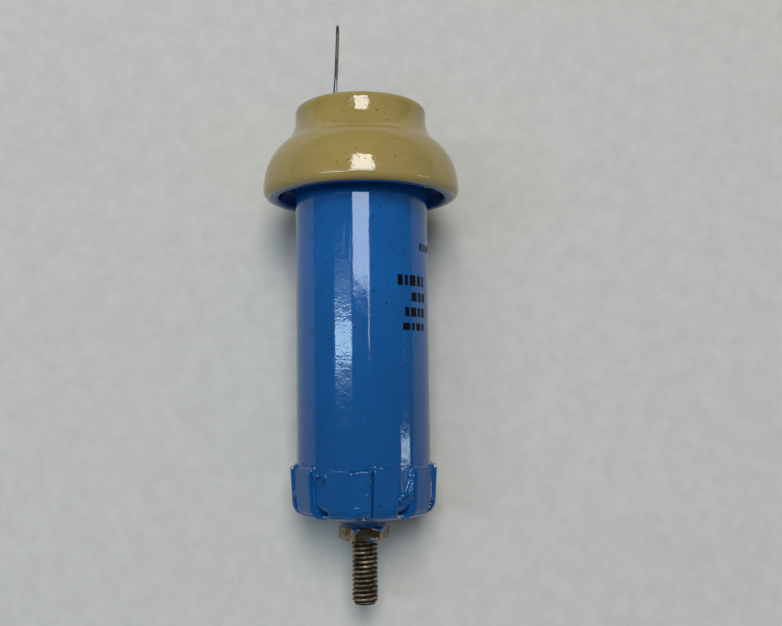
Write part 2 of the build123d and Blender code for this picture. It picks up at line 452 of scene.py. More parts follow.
@dataclass(frozen=True)
class BlueLacquer(Finish):
    """Glossy blue lacquer, with painted shade that darkens it towards the foot, orange peel, dirt and
    scratches.
    """

    name: str = "blue_lacquer_gloss"
    colour: Colour = (0.0050, 0.104, 0.342)
    dirt: Colour = (0.008, 0.020, 0.035)
    swell: float = 0.0072  # relief of the slow waves, in millimetres
    peel: float = 0.0045  # of the orange peel
    grain: float = 0.002275  # of the fine grain
    fleck: float = 0.00845  # of the brush flecks, which are strong on the left side only
    scratch: float = 0.004  # depth of the scratches

    def make(self) -> bpy.types.Material:
        """Makes the material."""
        bench = Bench(self.name)
        cloud = bench.fade(bench.noise(11.0, 4.0, 0.6), 0.35, 0.65)
        colour = bench.mix(cloud, shade(self.colour, 0.92), shade(self.colour, 1.08))
        # painted shade: the lacquer's colour is darkened towards the foot
        painted_foot_shade = bench.fade(bench.height(), 0.008, 0.042, 0.85, 0.0)
        colour = bench.mix(painted_foot_shade, colour, shade(self.colour, 0.72))
        patchy = bench.fade(bench.noise(5.0, 2.0), 0.44, 0.56)
        specks = bench.fade(bench.noise(0.55, 1.0), 0.705, 0.74)
        flat = bench.stretched((1.0, 1.0, 2.6))
        smears = bench.fade(bench.noise(1.3, 3.0, 0.7, 0.0, flat), 0.64, 0.72, 0.0, 0.75)
        dirt = bench.times(bench.maths("MAXIMUM", specks, smears), patchy)
        colour = bench.mix(dirt, colour, self.dirt)
        upright = bench.stretched((1.0, 1.0, 0.045), (4.0, 7.0, 0.0))
        scratch = bench.fade(bench.noise(0.6, 2.0, 0.5, 0.3, upright), 0.64, 0.70)
        scratch = bench.times(scratch, bench.fade(bench.noise(7.0, 1.0), 0.45, 0.6))
        flecks = bench.noise(1.0, 1.0, 0.5, 0.6, bench.stretched((1.0, 1.0, 1.9)))
        flecks = bench.times(flecks, bench.fade(bench.height("X"), -0.0024, -0.0010, 0.9, 0.25))
        roughness = bench.fade(bench.noise(2.4, 4.0, 0.7), 0.3, 0.75, 0.035, 0.12)
        roughness = bench.maths("ADD", roughness, bench.times(scratch, 0.2))
        grain = bench.times(bench.noise(0.45, 1.0), bench.fade(bench.noise(6.0, 2.0), 0.40, 0.58, 0.25))
        normal = bench.bump(bench.noise(4.2, 1.0), self.swell)
        normal = bench.bump(bench.noise(0.75, 2.0), self.peel, normal)
        normal = bench.bump(grain, self.grain, normal)
        normal = bench.bump(flecks, self.fleck, normal)
        normal = bench.bump(scratch, -self.scratch, normal)
        return bench.done(colour, roughness, normal, IOR=1.52)


@dataclass(frozen=True)
class TanGlaze(Finish):
    """Fired glaze over a tan body: glossy, softly uneven, with pinholes."""

    name: str = "tan_glaze_gloss"
    colour: Colour = (0.366, 0.260, 0.074)
    streak: Colour = (0.335, 0.265, 0.125)
    pit: Colour = (0.10, 0.07, 0.025)

    def make(self) -> bpy.types.Material:
        """Makes the material."""
        bench = Bench(self.name)
        cloud = bench.fade(bench.noise(9.0, 5.0, 0.65), 0.34, 0.66)
        colour = bench.mix(cloud, shade(self.colour, 0.93), shade(self.colour, 1.07))
        upright = bench.stretched((1.0, 1.0, 0.25))
        streak = bench.fade(bench.noise(6.0, 3.0, 0.6, 0.0, upright), 0.45, 0.7, 0.0, 0.35)
        colour = bench.mix(streak, colour, self.streak)
        pits = bench.times(bench.fade(bench.noise(0.4, 2.0), 0.66, 0.70),
                           bench.fade(bench.noise(3.0, 2.0), 0.47, 0.56))
        colour = bench.mix(pits, colour, self.pit)
        roughness = bench.fade(bench.noise(1.3, 5.0, 0.75), 0.35, 0.7, 0.04, 0.16)
        normal = bench.bump(bench.noise(4.5, 2.0), 0.03)
        normal = bench.bump(bench.noise(1.5, 2.0, 0.6), 0.035, normal)
        normal = bench.bump(bench.noise(0.6, 1.0), 0.012, normal)
        normal = bench.bump(pits, -0.03, normal)
        return bench.done(colour, roughness, normal, IOR=1.6)


@dataclass(frozen=True)
class TarnishedBrass(Finish):
    """Old brass: dull crests, brown roots and spots, and lacquer where the attribute "paint" is over 1.

    The attribute is 0 in a thread's root, 1 on a crest or an open face, and 2 under lacquer. Low values also
    paint shade: the nut's middle face is given 0.2 and drawn dark brown and rough like a root.
    """

    name: str = "tarnished_brass_metal"
    bright: Colour = (0.47, 0.39, 0.26)
    dull: Colour = (0.14, 0.112, 0.075)
    brown: Colour = (0.035, 0.025, 0.014)
    lacquer: Colour = (0.012, 0.09, 0.27)

    def make(self) -> bpy.types.Material:
        """Makes the material."""
        bench = Bench(self.name)
        depth = bench.attribute("paint")
        worn = bench.fade(bench.noise(1.4, 4.0, 0.65), 0.4, 0.62)
        colour = bench.mix(worn, self.dull, self.bright)
        spots = bench.fade(bench.noise(0.75, 3.0, 0.6, 0.4), 0.49, 0.56)
        spots = bench.times(spots, bench.fade(bench.noise(2.2, 1.0), 0.45, 0.58))
        colour = bench.mix(spots, colour, self.brown)
        # brown patina in the thread's roots, and painted shade on the nut's middle face where the attribute
        # is low
        root_patina_and_face_shade = bench.fade(depth, 0.10, 0.75, 1.0, 0.0)
        colour = bench.mix(root_patina_and_face_shade, colour, self.brown)
        edge = bench.maths("ADD", depth, bench.fade(bench.noise(0.5, 3.0, 0.7), 0.3, 0.7, -0.25, 0.25))
        painted = bench.fade(edge, 1.46, 1.54)
        colour = bench.mix(painted, colour, self.lacquer)
        covered = bench.maths("MAXIMUM", painted, bench.times(spots, 0.6))
        metal = bench.maths("SUBTRACT", 1.0, covered)
        bench.link(metal, bench.shader.inputs["Metallic"])
        roughness = bench.fade(bench.noise(0.9, 4.0, 0.7), 0.3, 0.7, 0.42, 0.62)
        smooth = bench.times(roughness, bench.fade(painted, 0.0, 1.0, 1.0, 0.4))
        roughness = bench.maths("MAXIMUM", smooth, bench.times(root_patina_and_face_shade, 0.7))
        normal = bench.bump(bench.noise(0.5, 4.0, 0.7), 0.012)
        normal = bench.bump(painted, 0.03, normal)
        return bench.done(colour, roughness, normal)


@dataclass(frozen=True)
class WasherPaint(Finish):
    """Washer metal under uneven blue lacquer that is rubbed through in places."""

    name: str = "washer_paint"
    lacquer: Colour = (0.004, 0.050, 0.17)
    metal: Colour = (0.14, 0.12, 0.09)

    def make(self) -> bpy.types.Material:
        """Makes the material."""
        bench = Bench(self.name)
        rubbed = bench.fade(bench.noise(1.5, 4.0, 0.7), 0.62, 0.68)
        colour = bench.mix(bench.noise(1.8, 3.0), shade(self.lacquer, 0.75), shade(self.lacquer, 1.2))
        colour = bench.mix(rubbed, colour, self.metal)
        bench.link(bench.times(rubbed, 0.9), bench.shader.inputs["Metallic"])
        roughness = bench.fade(bench.noise(0.8, 3.0), 0.3, 0.7, 0.1, 0.3)
        return bench.done(colour, roughness, bench.bump(bench.noise(0.7, 3.0), 0.012))


@dataclass(frozen=True)
class StrapMetal(Finish):
    """Dark tarnished strip with rolling lines along it, brown at its tip and olive below that."""

    name: str = "strap_dark_metal"
    colour: Colour = (0.115, 0.095, 0.085)
    brown: Colour = (0.05, 0.034, 0.026)
    olive: Colour = (0.19, 0.185, 0.13)

    def make(self) -> bpy.types.Material:
        """Makes the material."""
        bench = Bench(self.name)
        lines = bench.noise(0.35, 3.0, 0.6, 0.0, bench.stretched((1.0, 1.0, 0.03)))
        stain = bench.fade(bench.noise(2.5, 4.0, 0.65), 0.4, 0.62)
        colour = bench.mix(stain, self.colour, self.brown)
        colour = bench.mix(bench.fade(lines, 0.4, 0.7, 0.0, 0.4), colour, shade(self.colour, 1.8))
        uneven = bench.fade(bench.noise(1.5, 3.0), 0.3, 0.7, -0.0006, 0.0006)
        height = bench.maths("ADD", bench.height(), uneven)
        olive = bench.times(bench.fade(height, 0.0715, 0.0735), bench.fade(height, 0.0760, 0.0772, 1.0, 0.0))
        colour = bench.mix(bench.times(olive, 0.7), colour, self.olive)
        colour = bench.mix(bench.fade(height, 0.0763, 0.0778), colour, self.brown)
        roughness = bench.fade(bench.noise(1.2, 3.0), 0.3, 0.7, 0.35, 0.6)
        return bench.done(colour, roughness, bench.bump(lines, 0.006), Metallic=0.85)


@dataclass(frozen=True)
class Ink(Finish):
    """Printed ink, thin at its edges and a little rubbed."""

    name: str = "mark_ink_print"
    colour: Colour = (0.002, 0.003, 0.006)
    rubbed: Colour = (0.008, 0.05, 0.15)

    def make(self) -> bpy.types.Material:
        """Makes the material."""
        bench = Bench(self.name)
        thin = bench.fade(bench.noise(0.35, 3.0, 0.7), 0.62, 0.74, 0.0, 0.6)
        colour = bench.mix(thin, self.colour, self.rubbed)
        roughness = bench.fade(bench.noise(0.6, 2.0), 0.3, 0.7, 0.22, 0.4)
        return bench.done(colour, roughness, bench.bump(bench.noise(0.3, 2.0), 0.002), IOR=1.2)


@dataclass(frozen=True)
class DullSolder(Finish):
    """Solder with a grainy skin and streaks of flux."""

    name: str = "dull_solder_metal"
    colour: Colour = (0.52, 0.53, 0.55)
    flux: Colour = (0.22, 0.14, 0.05)

    def make(self) -> bpy.types.Material:
        """Makes the material."""
        bench = Bench(self.name)
        stain = bench.fade(bench.noise(1.6, 4.0, 0.6), 0.52, 0.7, 0.0, 0.7)
        colour = bench.mix(bench.noise(0.5, 3.0), shade(self.colour, 0.8), self.colour)
        colour = bench.mix(stain, colour, self.flux)
        roughness = bench.fade(bench.noise(0.4, 4.0), 0.3, 0.7, 0.28, 0.5)
        return bench.done(colour, roughness, bench.bump(bench.noise(0.35, 3.0), 0.012), Metallic=0.9)


@dataclass(frozen=True)
class FiredCeramic(Finish):
    """Bare fired ceramic, fine and chalky."""

    name: str = "fired_ceramic"
    colour: Colour = (0.74, 0.66, 0.50)

    def make(self) -> bpy.types.Material:
        """Makes the material."""
        bench = Bench(self.name)
        cloud = bench.fade(bench.noise(5.0, 5.0, 0.65), 0.3, 0.7)
        colour = bench.mix(cloud, shade(self.colour, 0.9), self.colour)
        roughness = bench.fade(bench.noise(0.8, 3.0), 0.3, 0.7, 0.6, 0.8)
        return bench.done(colour, roughness, bench.bump(bench.noise(0.25, 4.0, 0.7), 0.01))


@dataclass(frozen=True)
class SilverFilm(Finish):
    """Fired silver, brushed on and slightly yellowed."""

    name: str = "fired_silver_film"
    colour: Colour = (0.78, 0.76, 0.70)

    def make(self) -> bpy.types.Material:
        """Makes the material."""
        bench = Bench(self.name)
        brushed = bench.noise(0.5, 3.0, 0.6, 0.0, bench.stretched((1.0, 1.0, 0.08)))
        tarnish = bench.fade(bench.noise(6.0, 4.0, 0.6), 0.45, 0.7, 0.0, 0.6)
        colour = bench.mix(tarnish, self.colour, (0.42, 0.34, 0.22))
        roughness = bench.fade(brushed, 0.3, 0.7, 0.3, 0.5)
        return bench.done(colour, roughness, bench.bump(brushed, 0.004), Metallic=1.0)


@dataclass(frozen=True)
class TinnedSheet(Finish):
    """Tinned sheet metal gone grey, with runs of tin."""

    name: str = "tinned_sheet_metal"
    colour: Colour = (0.42, 0.41, 0.40)
    grime: Colour = (0.06, 0.055, 0.05)

    def make(self) -> bpy.types.Material:
        """Makes the material."""
        bench = Bench(self.name)
        dirt = bench.fade(bench.noise(1.8, 4.0, 0.65), 0.42, 0.65, 0.0, 0.85)
        colour = bench.mix(dirt, self.colour, self.grime)
        roughness = bench.fade(bench.noise(0.7, 3.0), 0.3, 0.7, 0.3, 0.55)
        return bench.done(colour, roughness, bench.bump(bench.noise(0.9, 3.0), 0.02), Metallic=0.9)


# ---------------------------------------------------------------- the ceramic pot and its coats


class Stretch(Enum):
    """The stretches of the pot's outline, from the foot round the collar to the floor of the bore."""

    FOOT = 0
    TUBE = 1
    GROOVE = 2
    GROOVE_WALL = 3
    LIP_EDGE = 4
    LIP_UNDER = 5
    LIP = 6
    SHOULDER = 7
    WAIST = 8
    NECK = 9
    RIM_SIDE = 10
    RIM_TOP = 11
    TOP = 12
    MOUTH = 13
    BORE = 14
    CORNER = 15
    FLOOR = 16


@dataclass
class CeramicPot:
    """The pot's outline, and the glaze and lacquer that lie on it."""

    tube: float = 10.20  # radius of the tube
    bore: float = 6.40
    floor: float = 3.70  # thickness of the floor
    foot_round: float = 2.20
    corner_round: float = 1.00
    collar_drop: float = 12.60  # from the top face down to the widest place
    shoulder: float = 8.55
    waist: float = 5.50
    lip: float = 1.75
    lip_edge: float = 0.40
    lip_power: float = 3.2  # 2 is a round lip, more is squarer
    lip_lap: float = 18.0  # degrees that the lacquer comes round the squared lip from its lowest point
    groove_depth: float = 2.45
    rim: float = 0.93
    mouth: float = 0.50
    film: float = 0.05  # the electrode under the lacquer
    rim_lap: float = 66.0  # degrees up the rim where glaze gives way to lacquer
    lacquer_foot: float = 8.2  # height where the tube's lacquer goes in behind the solder
    columns: int = 360

    def __post_init__(self) -> None:
        """Reads the pot's heights, its widest radius and the coat's thickness off the frame."""
        self.bottom = float(low("ceramic_pot")[2])
        self.top = float(high("ceramic_pot")[2])
        self.collar = float(high("ceramic_pot")[0])
        self.coat = float(high("rim_glaze")[2]) - self.top

    def foot_radius(self, height: Array) -> Array:
        """The ceramic's radius where its foot is rounded: middle + sqrt(R^2 - (middle z - z)^2)."""
        below = np.clip(self.bottom + self.foot_round - height, 0.0, self.foot_round)
        return self.tube - self.foot_round + np.sqrt(self.foot_round**2 - below**2)

    def lip_arc(self, centre: Sequence[float], grow: float, start: float, sweep: float) -> Array:
        """The lip, an arc made squarer, as centre + R * (c, s).

        The offset c is |cos a|^(2/n) with the sign of cos a, and s likewise, and n is lip_power.
        The inside of a coat, which lies on the round ceramic, keeps n = 2.

        Args:
            centre: the arc's middle, across and up.
            grow: how far out from the ceramic it is.
            start: first angle in degrees.
            sweep: how far the angle runs.

        Returns:
            An (n, 2) array of points.
        """
        offset = arc((0.0, 0.0), 1.0, start, sweep)
        power = 2.0 / self.lip_power if grow >= self.coat else 1.0
        return np.array(centre) + (self.lip + grow) * np.sign(offset) * np.abs(offset) ** power

    def stretch(self, which: Stretch, grow: float) -> Array:
        """One stretch of the outline, moved out from the ceramic by grow.

        Args:
            which: the stretch.
            grow: how far out.

        Returns:
            Points across (radius) and up (height).
        """
        outer, inner = self.tube + grow, self.bore - grow
        collar_z, foot_z = self.top - self.collar_drop, self.bottom + self.foot_round
        lip_r, lip_z = self.collar - self.lip, collar_z - self.lip
        groove_wall = lip_r - self.lip_edge
        groove = (groove_wall - self.tube) / 2.0
        groove_at = (self.tube + groove, lip_z + self.groove_depth - groove)
        reach, radii = self.tube + self.waist - self.collar + self.shoulder, self.shoulder + self.waist
        waist_z, rise = collar_z + np.sqrt(radii**2 - reach**2), np.degrees(np.arccos(reach / radii))
        rim_at = (self.tube - self.rim, self.top - self.rim)
        bore_z = self.bottom + self.floor
        corner_at = (self.bore - self.corner_round, bore_z + self.corner_round)
        shoulder_at = (self.collar - self.shoulder, collar_z)
        waist_at = (self.tube + self.waist, waist_z)
        mouth_at = (self.bore + self.mouth, self.top - self.mouth)
        shapes = {
            Stretch.FOOT: lambda: arc((self.tube - self.foot_round, foot_z), self.foot_round + grow, 270, 90),
            Stretch.TUBE: lambda: run((outer, self.lacquer_foot), (outer, groove_at[1])),
            Stretch.GROOVE: lambda: arc(groove_at, groove - grow, 180, -180),
            Stretch.GROOVE_WALL: lambda: run((groove_wall - grow, groove_at[1]),
                                             (groove_wall - grow, lip_z + self.lip_edge)),
            Stretch.LIP_EDGE: lambda: arc((lip_r, lip_z + self.lip_edge), self.lip_edge + grow, 180, 90),
            Stretch.LIP_UNDER: lambda: self.lip_arc((lip_r, collar_z), grow, 270, self.lip_lap),
            Stretch.LIP: lambda: self.lip_arc((lip_r, collar_z), grow, 270 + self.lip_lap, 90 - self.lip_lap),
            Stretch.SHOULDER: lambda: arc(shoulder_at, self.shoulder + grow, 0, rise),
            Stretch.WAIST: lambda: arc(waist_at, self.waist - grow, 180 + rise, -rise),
            Stretch.NECK: lambda: run((outer, waist_z), (outer, rim_at[1])),
            Stretch.RIM_SIDE: lambda: arc(rim_at, self.rim + grow, 0, self.rim_lap),
            Stretch.RIM_TOP: lambda: arc(rim_at, self.rim + grow, self.rim_lap, 90 - self.rim_lap),
            Stretch.TOP: lambda: run((rim_at[0], self.top + grow), (self.bore + self.mouth, self.top + grow)),
            Stretch.MOUTH: lambda: arc(mouth_at, self.mouth + grow, 90, 90),
            Stretch.BORE: lambda: run((inner, self.top - self.mouth), (inner, corner_at[1])),
            Stretch.CORNER: lambda: arc(corner_at, self.corner_round - grow, 0, -90),
            Stretch.FLOOR: lambda: run((corner_at[0], bore_z + grow), (0.0, bore_z + grow)),
        }
        return shapes[which]()

    def path(self, first: Stretch, last: Stretch, grow: float, count: int) -> Array:
        """The outline from one stretch to another, evenly spaced and moved out by grow."""
        parts = [self.stretch(which, grow) for which in Stretch if first.value <= which.value <= last.value]
        return spread(np.vstack(parts), count)

    def coating(self, first: Stretch, last: Stretch, under: float, rows: int, relief: float,
                seed: int) -> Skin:
        """A coat: the outline at its outside and back at its inside, turned about Z.

        The outside is pressed in by relief * (1 + ripple) / 2, so that it never stands proud, and
        by what thinned gives.

        Args:
            first: stretch where the coat starts.
            last: stretch where it ends.
            under: how far its inside is from the ceramic.
            rows: points along the outside.
            relief: depth of its unevenness.
            seed: which unevenness it has.

        Returns:
            The coat's skin.
        """
        outside = turned(self.path(first, last, self.coat, rows), self.columns)
        uneven = 0.7 * ripple(outside, 9.0, seed) + 0.3 * ripple(outside, 2.6, seed + 1)
        press = relief * np.clip(1.0 + uneven, 0.0, 2.0) / 2.0 + self.thinned(outside)
        middle = outside.copy()
        radius = np.maximum(np.hypot(outside[..., 0], outside[..., 1]), 1.0)
        middle[..., :2] *= (1.0 - press / radius)[..., None]
        inside = turned(self.path(first, last, under, rows // 3)[::-1], self.columns)
        return Skin.over(np.concatenate([middle, inside]))

    def thinned(self, points: Array) -> Array:
        """How much thinner the glaze is on the shoulder than at the lip, and less so up the neck."""
        above = points[..., 2] - (self.top - self.collar_drop)
        on_collar = step_up(np.hypot(points[..., 0], points[..., 1]), self.tube, self.tube + 0.15)
        return on_collar * (0.105 * step_up(above, -1.1, 1.3) - 0.085 * step_up(above, 7.0, 12.4))

    def build(self) -> None:
        """Makes the three coats and dresses the ceramic and its electrodes."""
        lacquer, glaze = BlueLacquer(), TanGlaze()
        skin = self.coating(Stretch.TUBE, Stretch.LIP_UNDER, self.film, 190, 0.012, 11)
        make_piece("tube_lacquer", skin, lacquer, "capacitor", ["outer_lacquer"])
        skin = self.coating(Stretch.LIP, Stretch.RIM_SIDE, 0.0, 150, 0.025, 21)
        make_piece("collar_glaze", skin, glaze, "capacitor", ["rim_glaze"])
        skin = self.coating(Stretch.RIM_TOP, Stretch.FLOOR, self.film, 120, 0.02, 31)
        make_piece("bore_coat", skin, lacquer, "capacitor", ["bore_lacquer"])
        dress("ceramic_pot", FiredCeramic())
        dress("outer_electrode", SilverFilm())
        dress("inner_electrode", SilverFilm())


def dress(node: str, finish: Finish) -> None:
    """Gives a CAD node its finish."""
    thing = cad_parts[node]
    thing.data.materials.clear()
    thing.data.materials.append(finish.material())
    LOG.info("%s: dressed as %s", node, finish.name)


# ---------------------------------------------------------------- the base cap and its solder


@dataclass(frozen=True)
class Web:
    """How solder and lacquer fill one gap between two fingers."""

    fill: float  # how far it stands out from the tube, as a share of the way to the fingers' outer face
    split: float  # share of the gap that is open at the top of its V
    split_foot: float  # height where the V closes
    arch: float  # height of the open recess below it
    tilt: float = 0.0  # how much thicker it is at its left side, as a share
    lap: float = 0.0  # how far it runs over the finger at its left, as a share of half the gap


@dataclass
class BaseCap:
    """The stamped cap with its ten fingers under lacquer, and the solder between them."""

    pot: CeramicPot
    fingers: int = 10
    turn: float = 18.6  # degrees from the front to one finger
    width: float = 3.50
    sheet: float = 0.50
    coat: float = 0.12
    bend: float = 1.60  # inside radius
    lean: float = 3.4
    root_gap: float = 0.10  # between the electrode and a finger's foot
    boss_top: float = 4.70  # radius where the pressed boss meets the disc
    boss_foot: float = 3.92
    edge: float = 0.15  # rounding of a lacquered edge
    webs: tuple[Web, ...] = (
        Web(0.50, 0.85, 7.8, 7.2, 0.30),
        Web(0.95, 0.0, 0.0, 1.5, 0.12, 0.8),
        Web(0.72, 0.95, 4.7, 4.3, -0.1),
        Web(0.56, 0.5, 6.0, 3.2),
        Web(0.66, 0.2, 7.0, 2.4),
        Web(0.50, 0.9, 5.2, 4.8),
        Web(0.70, 0.0, 0.0, 2.0),
        Web(0.58, 0.7, 5.6, 3.9),
        Web(0.62, 0.3, 6.8, 2.9),
        Web(0.52, 0.8, 5.0, 4.2),
    )
    runs: tuple[tuple[float, float, float], ...] = (  # of solder: degrees from the front, rise, width
        (-20.0, 0.22, 6.0), (-7.0, -0.22, 3.5), (10.0, 0.32, 4.0), (12.8, 0.55, 1.1), (-61.0, 0.4, 4.0),
        (60.0, 0.3, 5.0), (128.0, 0.6, 2.0), (170.0, 0.35, 5.0), (-120.0, 0.5, 3.0))
    columns: int = 640

    def __post_init__(self) -> None:
        """Reads the heights off the frame and works out the bend's place."""
        self.tip = float(high("base_spider")[2])
        self.disc_top = float(low("ceramic_pot")[2]) - 0.25
        self.lean_tan = np.tan(np.radians(self.lean))
        foot = self.pot.tube + self.pot.film + self.root_gap
        self.bend_r = foot - self.bend * np.cos(np.radians(self.lean))
        self.bend_z = self.disc_top + self.bend
        self.foot = foot
        self.half = self.width / 2.0 + self.coat

    def inner_face(self, height: Array) -> Array:
        """Radius of the fingers' inner face, which leans outwards as it rises."""
        return self.foot + (height - self.bend_z) * self.lean_tan

    def outer_face(self, height: Array) -> Array:
        """Radius of the fingers' outer face: bend_r + sqrt(R^2 - (bend_z - z)^2), then leaning outwards."""
        thick = self.sheet + self.coat
        below = np.clip(self.bend_z - height, 0.0, self.bend + thick - 0.05)
        bent = self.bend_r + np.sqrt((self.bend + thick) ** 2 - below**2)
        return np.where(height > self.bend_z, self.inner_face(height) + thick, bent)

    def finger_skin(self, angle: float, seed: int) -> Skin:
        """One lacquered finger: a rounded section carried along the disc, round the bend and up.

        Args:
            angle: the finger's place about Z in degrees.
            seed: which unevenness its lacquer has.

        Returns:
            The finger's skin.
        """
        thick = self.sheet + self.coat
        middle = self.bend + thick / 2.0
        rise = 90.0 - self.lean
        curve = arc((self.bend_r, self.bend_z), middle, 270, rise)
        along = np.array([np.sin(np.radians(self.lean)), np.cos(np.radians(self.lean))])
        tip = curve[-1] + along * (self.tip + self.coat - curve[-1][1]) / along[1]
        root = (self.bend_r - 1.6, self.bend_z - middle + 0.03)
        line = spread(np.vstack([run(root, curve[0]), curve, run(curve[-1], tip)]), 72)
        tangent = np.gradient(line, axis=0)
        tangent /= np.linalg.norm(tangent, axis=1, keepdims=True)
        normal = np.stack([tangent[:, 1], -tangent[:, 0]], -1)
        section = bar_section(2.0 * self.half, thick, self.edge, 44)
        shrink = np.ones(len(line))
        shrink[-3:] = (0.985, 0.955, 0.90)
        across = section[None, :, 0] * np.sqrt(shrink)[:, None]
        out = section[None, :, 1] * shrink[:, None]
        radius = line[:, :1] + normal[:, :1] * out
        height = line[:, 1:] + normal[:, 1:] * out
        lattice = np.stack([radius, across, height], -1)
        uneven = dents(lattice, 2.2, seed)[..., None]
        outwards = [normal[:, :1] * np.ones_like(out), np.zeros_like(out), normal[:, 1:] * np.ones_like(out)]
        lattice -= 0.012 * uneven * np.stack(outwards, -1)
        turn = np.radians(angle)
        spin = np.array([[np.cos(turn), np.sin(turn), 0], [-np.sin(turn), np.cos(turn), 0], [0, 0, 1]])
        return Skin.bar(lattice @ spin)

    def slot_skin(self, angle: float) -> Skin:
        """The disc's edge in one gap: it rises round the bend towards both fingers, like a U.

        Across the gap runs v from -1 to 1. The sheet is carried round the bend as far as
        7 + 62 |v|^3.5 degrees, in a section with a round edge.

        Args:
            angle: the gap's place about Z in degrees.

        Returns:
            The edge's skin.
        """
        across = np.linspace(-1.0, 1.0, 41)
        reach = 7.0 + 62.0 * np.abs(across) ** 3.5
        thick = self.sheet + self.coat - 0.02
        loop = bar_section(1.0, thick, thick * 0.42, 36)
        middle = self.bend + thick / 2.0
        length = np.radians(reach + 18.0)[:, None]
        squeeze = (loop[None, :, 0] + 0.5) * length - np.radians(18.0)
        rho = middle + loop[None, :, 1] * np.ones_like(squeeze)
        radius = self.bend_r + rho * np.sin(squeeze)
        height = self.bend_z - rho * np.cos(squeeze)
        room = np.pi / self.fingers - np.arcsin((self.half - 0.12) / radius)
        return Skin.bar(around(radius, np.radians(angle) + across[:, None] * room, height))

    def disc_skin(self) -> Skin:
        """The disc's coat: down the boss's wall, and a flat ring from there to the start of the bend."""
        low_z, high_z = self.disc_top - self.sheet - self.coat, self.disc_top
        outer = self.bend_r - 0.15
        ring = np.array([(self.boss_foot, 0.03), (self.boss_foot + 0.1, 0.0), (self.boss_foot + 0.18, 0.08),
                         (self.boss_top + 0.12, low_z - 0.06), (self.boss_top + 0.24, low_z), (outer, low_z),
                         (outer, high_z), (self.boss_top, high_z - 0.1), (self.boss_top - 0.05, low_z + 0.1)])
        return Skin.over(turned(spread(ring, 60, closed=True), 240))

    def top_line(self, angle: Array) -> Array:
        """Height where the solder above the fingers runs out, for degrees from the front."""
        ring = around(np.full_like(angle, 3.0), np.radians(angle), np.zeros_like(angle))
        line = self.tip + self.coat + 0.42
        line = line + 0.16 * ripple(ring * 3.0, 7.0, 5) + 0.05 * ripple(ring * 3.0, 1.2, 6)
        for middle, rise, width in self.runs:
            line += rise * hump(angle, middle, width)
        return np.maximum(line, self.tip + self.coat + 0.1)

    def web_skin(self) -> Skin:
        """Solder and lacquer between the fingers, as a radius for each angle and height.

        Over the ceramic's own radius lies a thickness. Between the fingers it is each web's fill,
        taken away inside its V and below its arch, with a bead along the arch; a web that laps
        over its left finger has a ridge at its right side. Above a finger it slopes from the
        finger's tip in to the tube, and a small bead closes it at the top.
        """
        angle = np.linspace(-180.0, 180.0, self.columns, endpoint=False)[None, :]
        share = np.linspace(0.0, 1.0, 112)[:, None]
        bottom, top = self.disc_top - 0.1, self.top_line(angle)
        z = bottom + share * (top - bottom)
        first_gap = self.turn - 3.0 * 180.0 / self.fingers
        pitch = 360.0 / self.fingers
        turns = (angle - first_gap + pitch / 2.0) / pitch
        index = np.floor(turns).astype(int) % self.fingers
        local = (turns % 1.0 - 0.5) * pitch
        half_gap = pitch / 2.0 - np.degrees(np.arcsin(self.half / self.inner_face(z)))
        u = local / half_gap
        fill, split, foot, arch, tilt, lap = (
            np.array([getattr(web, field) for web in self.webs])[index]
            for field in ("fill", "split", "split_foot", "arch", "tilt", "lap"))
        place = around(self.pot.tube * np.ones_like(z), np.radians(angle), z)
        lump, fine = ripple(place, 1.9, 41), ripple(place, 0.8, 42)
        bare = np.where(z > self.bend_z, self.pot.tube, self.pot.foot_radius(z)) + self.pot.coat - 0.03
        opened = split * np.clip((z - foot) / np.maximum(self.tip - foot, 0.1), 0.0, 1.0) ** 0.8
        side = step_up(np.abs(u) + 0.07 * lump, opened - 0.06, opened + 0.22)
        side = np.where(split > 0.0, np.where(z > foot, side, 1.0), 1.0)
        arch_line = arch - 1.1 * np.abs(u) ** 2.5 + 0.12 * lump
        stand = fill * (self.outer_face(z) - bare) * step_up(z, arch_line - 0.18, arch_line + 0.22)
        stand *= side * (1.0 + 0.06 * lump + 0.02 * fine - tilt * np.clip(u, -1.0, 1.0))
        stand += 0.24 * hump(z, arch_line + 0.25, 0.3) * (1.0 + 0.8 * fine) * side
        stand += 0.34 * hump(u, 0.74, 0.11) * step_up(lap, 0.0, 0.5) * step_up(z, arch_line, arch_line + 1.0)
        above = step_up(z, top - 0.75, top - 0.05)
        gap_radius = bare + stand * (1.0 - above)
        ledge = np.clip((top - z) / np.maximum(top - self.tip - 0.05, 0.1), 0.0, 1.0)
        tip_radius = bare + (self.inner_face(self.tip) + 0.42 - bare) * ledge**1.25
        hidden = self.inner_face(z) + 0.2
        across = (np.abs(u) - 0.8 + 0.1 * lump) / np.maximum(lap + 0.2, 0.01)
        over = np.sqrt(np.clip(1.0 - across**2, 0.0, 1.0))
        hidden += np.where((u < 0.0) & (lap > 0.0), 0.50 * over * step_up(z, arch_line, arch_line + 0.5), 0.0)
        finger_radius = np.where(z > self.tip, tip_radius, hidden)
        beside = step_up(np.abs(u), 0.93, 1.08)
        radius = gap_radius + (finger_radius - gap_radius) * beside
        radius += 0.14 * hump(z, top - 0.13, 0.085) * (1.0 + 0.6 * fine)
        radius = np.where(share >= 1.0, bare - 0.05, radius)
        outside = around(radius, np.radians(angle + FRONT), z)
        back = np.linspace(1.0, 0.0, 10)[:, None]
        z_back = bottom + back * (top - bottom)
        inside = around(self.pot.foot_radius(z_back) + 0.02, np.radians(angle + FRONT), z_back)
        return Skin.over(np.concatenate([outside, inside]))

